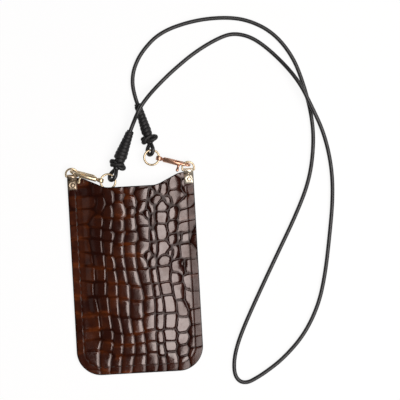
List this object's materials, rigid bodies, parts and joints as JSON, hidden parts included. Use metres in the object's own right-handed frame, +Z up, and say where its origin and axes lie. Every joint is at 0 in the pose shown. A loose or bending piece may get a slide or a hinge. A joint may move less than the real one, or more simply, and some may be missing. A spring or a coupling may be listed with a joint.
{
  "type": "phone pouch",
  "caption": "Flat leather pouch for a phone, open at the scooped mouth, hung from a long round cord by snap hooks on corner D-rings",
  "frame": {"origin": "middle of the flat back face, on the table", "axes": "+X across the pouch, +Y towards its mouth, +Z up out of its front"},
  "size_m": [0.2334, 0.3211, 0.0134],
  "materials": {
    "croc_leather": "high gloss embossed",
    "back_leather": "smooth",
    "thread": "waxed",
    "cord": "soft sheen",
    "gold": "polished",
    "spring_steel": "drawn"
  },
  "bodies": {
    "pouch": {"front_panel": "croc_leather", "back_panel": "back_leather", "seam_thread_front": "thread", "seam_thread_back": "thread", "strap_cord": "cord", "corner_clasp_right": "gold", "clasp_post_right": "gold", "clasp_screw_right": "gold", "cord_end_right": "cord", "whipping_right": "cord", "whipping_knot_right": "cord", "corner_clasp_left": "gold", "clasp_post_left": "gold", "clasp_screw_left": "gold", "cord_end_left": "cord", "whipping_left": "cord", "whipping_knot_left": "cord"},
    "ring_right": {"link_ring_right": "gold"},
    "dee_right": {"d_ring_right": "gold"},
    "eye_right": {"swivel_eye_right": "gold"},
    "hook_right": {"hook_body_right": "gold", "bolt_spring_right": "spring_steel"},
    "bolt_right": {"hook_bolt_right": "gold", "thumb_knob_right": "gold"},
    "ring_left": {"link_ring_left": "gold"},
    "dee_left": {"d_ring_left": "gold"},
    "eye_left": {"swivel_eye_left": "gold"},
    "hook_left": {"hook_body_left": "gold", "bolt_spring_left": "spring_steel"},
    "bolt_left": {"hook_bolt_left": "gold", "thumb_knob_left": "gold"}
  },
  "joints": [
    {"name": "d_ring_tilt_right", "type": "hinge", "parent": "pouch", "child": "dee_right", "pos_m": [0.0507, 0.08745, 0.002], "axis": [1, 0, 0], "range_deg": [0, 6]},
    {"name": "hook_lift_right", "type": "hinge", "parent": "pouch", "child": "eye_right", "pos_m": [0.02595, 0.09908, 0.0065], "axis": [-0.2924, -0.9563, 0], "range_deg": [0, 2.08]},
    {"name": "hook_swivel_right", "type": "hinge", "parent": "eye_right", "child": "hook_right", "pos_m": [0.02595, 0.09908, 0.0065], "axis": [0.9563, -0.2924, 0], "range_deg": [-20, 3]},
    {"name": "bolt_draw_right", "type": "slide", "parent": "hook_right", "child": "bolt_right", "axis": [-0.9563, 0.2924, 0], "range_m": [0, 0.0038], "stiffness_N_per_m": 400, "springref_m": -0.002, "deforming": ["bolt_spring_right"]},
    {"name": "ring_spin_right", "type": "hinge", "parent": "pouch", "child": "ring_right", "pos_m": [0.0196, 0.1002, 0.0065], "axis": [0, 0, 1], "continuous": true},
    {"name": "d_ring_tilt_left", "type": "hinge", "parent": "pouch", "child": "dee_left", "pos_m": [-0.0507, 0.08745, 0.002], "axis": [1, 0, 0], "range_deg": [0, 4]},
    {"name": "hook_lift_left", "type": "hinge", "parent": "pouch", "child": "eye_left", "pos_m": [-0.02571, 0.08279, 0.0065], "axis": [0.3057, 0.9521, 0], "range_deg": [0, 1.22]},
    {"name": "hook_swivel_left", "type": "hinge", "parent": "eye_left", "child": "hook_left", "pos_m": [-0.02571, 0.08279, 0.0065], "axis": [0.9521, -0.3057, 0], "range_deg": [-4, 0]},
    {"name": "bolt_draw_left", "type": "slide", "parent": "hook_left", "child": "bolt_left", "axis": [0.9521, -0.3057, 0], "range_m": [0, 0.0038], "stiffness_N_per_m": 400, "springref_m": -0.002, "deforming": ["bolt_spring_left"]},
    {"name": "ring_spin_left", "type": "hinge", "parent": "pouch", "child": "ring_left", "pos_m": [-0.0194, 0.08145, 0.0065], "axis": [0, 0, 1], "continuous": true}
  ],
  "couplings": [
    {"joint": "hook_lift_right", "follows": "d_ring_tilt_right", "ratio": 0.33},
    {"joint": "hook_lift_left", "follows": "d_ring_tilt_left", "ratio": 0.28}
  ]
}
